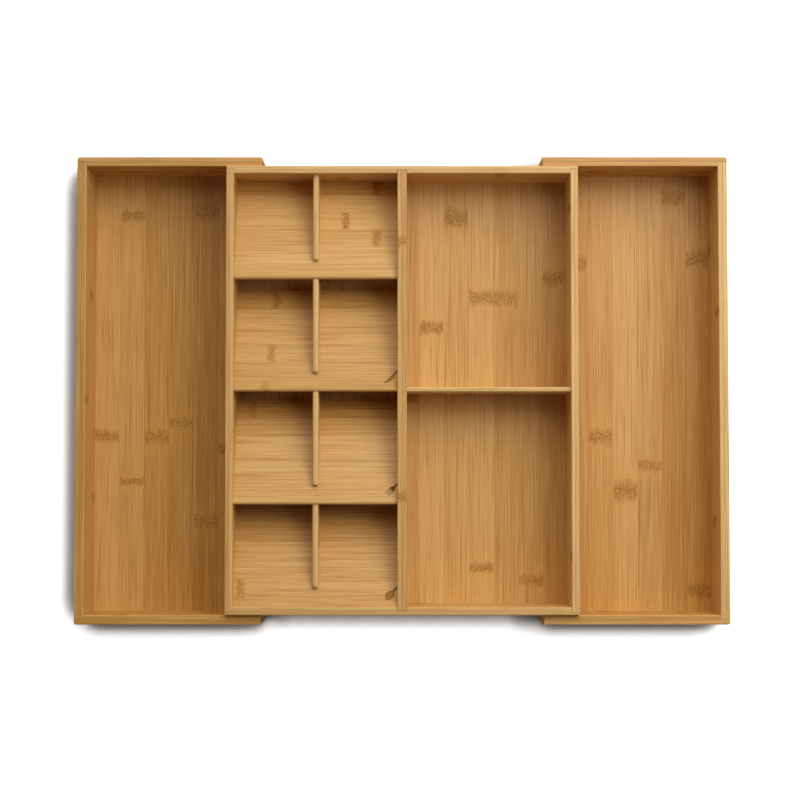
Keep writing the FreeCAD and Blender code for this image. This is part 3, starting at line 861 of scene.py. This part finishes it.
class TRAY_OT_add_marks(bpy.types.Operator):
    """Burn a knife, a fork and a spoon into three tiers, each cut off by the divider"""
    bl_idname = "cutlery_tray.add_marks"
    bl_label = "Add the cutlery marks"

    def execute(self, context):
        finish = context.scene.tray_marks
        burnt = burnt_bamboo("burnt_bamboo", finish.burnt)
        scorched = burnt_bamboo("scorched_bamboo", finish.scorched)
        divider_face = Vector((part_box("central_divider")[0].x, 0, 0))
        for name, (tier, draw, length_share) in MARKS.items():
            shape = bmesh.new()
            draw(shape, finish.length * length_share)
            bmesh.ops.transform(shape, matrix=mark_place(tier), verts=shape.verts)
            bmesh.ops.bisect_plane(
                shape, geom=[*shape.verts, *shape.edges, *shape.faces], plane_co=divider_face,
                plane_no=LEFT_TO_RIGHT, clear_outer=True)
            raised = bmesh.ops.extrude_face_region(shape, geom=shape.faces[:])
            bmesh.ops.translate(
                shape, vec=-TIER_FACE * finish.thickness, verts=new_points(raised))
            bmesh.ops.recalc_face_normals(shape, faces=shape.faces)
            data = bpy.data.meshes.new(name)
            shape.to_mesh(data)
            shape.free()
            data.materials.append(burnt)
            data.materials.append(scorched)
            mark = bpy.data.objects.new(name, data)
            context.scene.collection.objects.link(mark)
            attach(mark, "centre_unit")
        return {"FINISHED"}


def seen_directly(tree):
    """1 where the camera, a reflection or a see-through piece looks, and 0 for other light."""
    ray = tree.nodes.new("ShaderNodeLightPath").outputs
    seen = calculate(tree, "MAXIMUM", ray["Is Camera Ray"], ray["Is Glossy Ray"])
    return calculate(tree, "MAXIMUM", seen, ray["Is Transmission Ray"])


def openness(tree, direction, reach):
    """How open the space above the floor is within a reach, mostly towards one direction."""
    node = tree.nodes.new("ShaderNodeAmbientOcclusion")
    feed(tree, node.inputs["Distance"], reach)
    feed(tree, node.inputs["Normal"], combine(tree, *direction))
    return node.outputs["AO"]


def add_floor(look):
    """A pale floor under the foot pads, lifted to white for the camera, which still shows shadows; the lift
    is held back near the tray's left and front, which paints a shadow there.
    """
    shape = bmesh.new()
    bmesh.ops.create_grid(shape, x_segments=1, y_segments=1, size=look.floor_size / 2)
    bmesh.ops.translate(shape, verts=shape.verts, vec=(0, 0, -look.floor_drop))
    data = bpy.data.meshes.new("floor")
    shape.to_mesh(data)
    shape.free()
    material, tree, shader = new_material("floor_white")
    shader["Base Color"].default_value = (*look.floor_colour, 1.0)
    shader["Roughness"].default_value = 1.0
    shader["Specular IOR Level"].default_value = 0.0
    shader["Emission Color"].default_value = (1.0, 1.0, 1.0, 1.0)
    # The painted shadow reaches further on the floor between the trays' arms, set by place on the floor
    arm_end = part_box("right_tray_front_wall")[0].x
    sideways, _, _ = split(tree, tree.nodes.new("ShaderNodeTexCoord").outputs["Object"])
    between_arms = fade(tree, calculate(tree, "ABSOLUTE", sideways), arm_end, arm_end - look.shadow_blend)
    front_reach = calculate(tree, "MULTIPLY_ADD", between_arms, look.middle_shadow, look.front_shadow)
    aside, up = sin(look.shadow_lean), cos(look.shadow_lean)
    open_right = openness(tree, (aside, 0.0, up), look.left_shadow)
    open_back = openness(tree, (0.0, aside, up), front_reach)
    # Where the floor is hemmed in towards the right or the back, its lift is held back: a painted shadow
    clear = calculate(tree, "MINIMUM", fade(tree, open_right, *LEFT_PAINTED_SHADOW_FADE),
                      fade(tree, open_back, *FRONT_PAINTED_SHADOW_FADE))
    lift = calculate(tree, "MULTIPLY", clear, look.floor_lift)
    feed(tree, shader["Emission Strength"], calculate(tree, "MULTIPLY", seen_directly(tree), lift))
    data.materials.append(material)
    floor = bpy.data.objects.new("floor", data)
    bpy.context.scene.collection.objects.link(floor)


def add_room_light(look):
    """A white room that lights the tray from its bright back and a little from its front. Where its
    walls are seen directly, they are white up to a dim ceiling."""
    world = bpy.data.worlds.new("room")
    world.use_nodes = True
    tree = world.node_tree
    background = tree.nodes["Background"].inputs
    background["Color"].default_value = (1.0, 1.0, 1.0, 1.0)
    _, backwards, rise = split(tree, tree.nodes.new("ShaderNodeTexCoord").outputs["Generated"])
    light = calculate(tree, "MAXIMUM", calculate(tree, "MULTIPLY", backwards, look.room_back),
                      calculate(tree, "MULTIPLY", backwards, -look.room_front))
    wall = calculate(tree, "MULTIPLY", seen_directly(tree), fade(tree, rise, *CEILING_FADE))
    whitened = calculate(tree, "SUBTRACT", look.backdrop, light)
    feed(tree, background["Strength"], calculate(tree, "MULTIPLY_ADD", wall, whitened, light))
    bpy.context.scene.world = world


def add_softbox(name, place, size, power):
    """A square softbox, turned to the tray."""
    lamp = bpy.data.lights.new(name, "AREA")
    lamp.size = size
    lamp.energy = power
    softbox = bpy.data.objects.new(name, lamp)
    softbox.location = place
    softbox.visible_camera = False
    softbox.rotation_euler = (-softbox.location).to_track_quat("-Z", "Y").to_euler()
    bpy.context.scene.collection.objects.link(softbox)


def add_camera(look):
    """The camera above the tray, tilted a little towards the back."""
    eye = bpy.data.cameras.new("camera")
    eye.lens = look.lens
    camera = bpy.data.objects.new("camera", eye)
    camera.location = look.camera_place
    camera.rotation_euler = (look.camera_tilt, 0, 0)
    bpy.context.scene.collection.objects.link(camera)
    bpy.context.scene.camera = camera


class TRAY_OT_set_stage(bpy.types.Operator):
    """Add the floor, the light and the camera"""
    bl_idname = "cutlery_tray.set_stage"
    bl_label = "Set the stage"

    def execute(self, context):
        look = context.scene.tray_stage
        add_floor(look)
        add_room_light(look)
        add_softbox("side_softbox", look.side_place, look.side_size, look.side_power)
        add_softbox("back_softbox", look.back_place, look.back_size, look.back_power)
        add_camera(look)
        context.scene.view_settings.view_transform = "Standard"
        return {"FINISHED"}


GROUPS = {"tray_bamboo": BambooFinish, "tray_marks": MarkFinish, "tray_pads": PadFinish,
          "tray_stage": StageLook}
OPERATORS = (TRAY_OT_dress_bases, TRAY_OT_dress_walls, TRAY_OT_dress_tiers, TRAY_OT_dress_feet,
             TRAY_OT_add_marks, TRAY_OT_set_stage)


class TRAY_PT_finish(bpy.types.Panel):
    """The tray's finish, step by step"""
    bl_idname = "TRAY_PT_finish"
    bl_label = "Cutlery Tray"
    bl_space_type = "VIEW_3D"
    bl_region_type = "UI"
    bl_category = "Cutlery Tray"

    def draw(self, context):
        for operator in OPERATORS:
            self.layout.operator(operator.bl_idname)
        for name, group in GROUPS.items():
            box = self.layout.box()
            for prop in group.__annotations__:
                box.prop(getattr(context.scene, name), prop)


def register():
    """Add the settings, the operators and the panel."""
    for kind in (*GROUPS.values(), *OPERATORS, TRAY_PT_finish):
        bpy.utils.register_class(kind)
    for name, group in GROUPS.items():
        setattr(bpy.types.Scene, name, PointerProperty(type=group))


def unregister():
    """Take them away again."""
    for name in GROUPS:
        delattr(bpy.types.Scene, name)
    for kind in reversed((*GROUPS.values(), *OPERATORS, TRAY_PT_finish)):
        bpy.utils.unregister_class(kind)


def main():
    """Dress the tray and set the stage."""
    register()
    bpy.ops.cutlery_tray.dress_bases()
    bpy.ops.cutlery_tray.dress_walls()
    bpy.ops.cutlery_tray.dress_tiers()
    bpy.ops.cutlery_tray.dress_feet()
    bpy.ops.cutlery_tray.add_marks()
    bpy.ops.cutlery_tray.set_stage()


if __name__ == "__main__":
    main()
